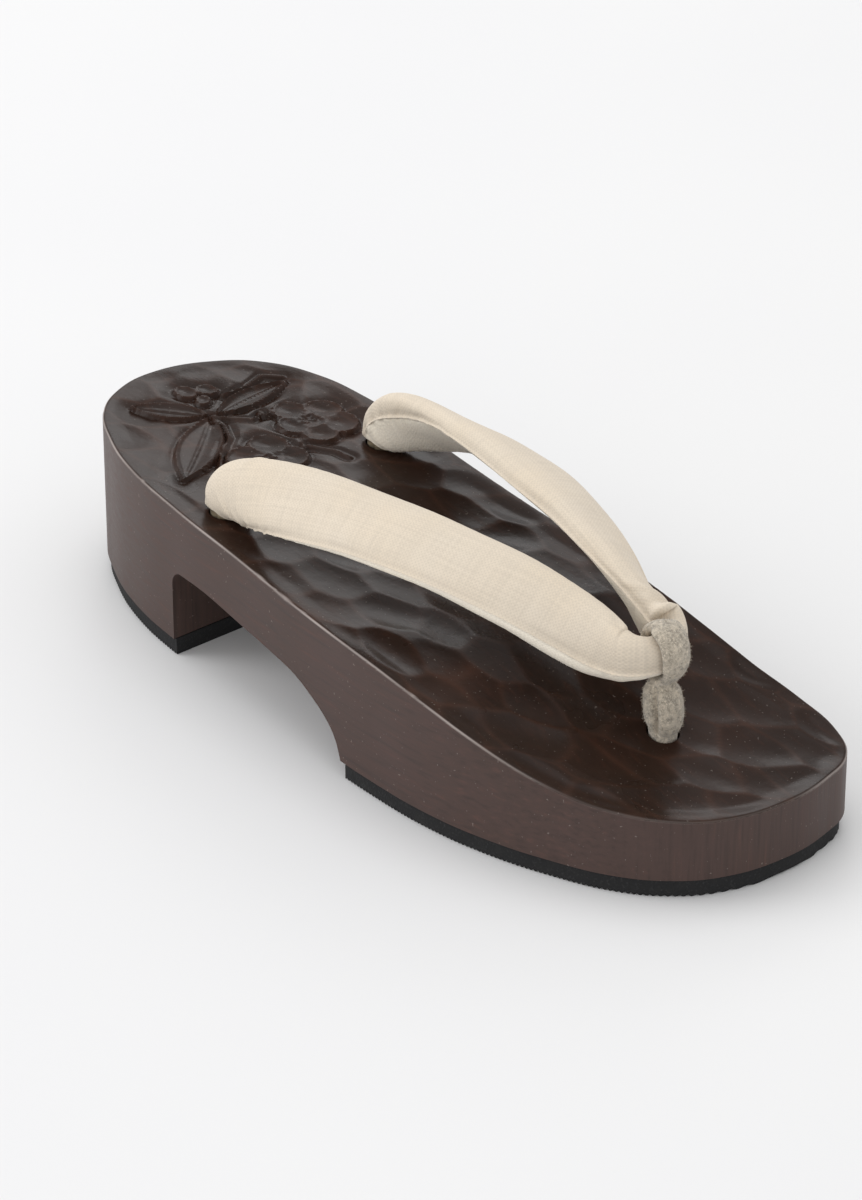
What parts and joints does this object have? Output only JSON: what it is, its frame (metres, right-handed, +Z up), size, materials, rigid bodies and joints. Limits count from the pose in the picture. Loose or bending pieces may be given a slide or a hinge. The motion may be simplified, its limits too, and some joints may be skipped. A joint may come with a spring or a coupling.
{
  "type": "geta sandal",
  "caption": "Right-foot wooden geta with a carved dark base on rubber-shod blocks, padded cream strap and grey felt thong",
  "frame": {"origin": "middle of the outline on the ground", "axes": "+X from heel to toe, +Y to the wearer's left, which is the inner side of this right shoe, +Z up"},
  "size_m": [0.2401, 0.087, 0.0665],
  "materials": {
    "lacquered_wood": "dark brown lacquer with a soft gloss",
    "black_rubber": "matt black foam rubber",
    "cream_cotton": "padded plain-weave cotton",
    "grey_felt": "brushed grey felt"
  },
  "bodies": {
    "root": {"dai": "lacquered_wood", "heel_rubber": "black_rubber", "front_rubber": "black_rubber", "hanao": "cream_cotton", "maetsubo": "grey_felt"}
  },
  "joints": []
}
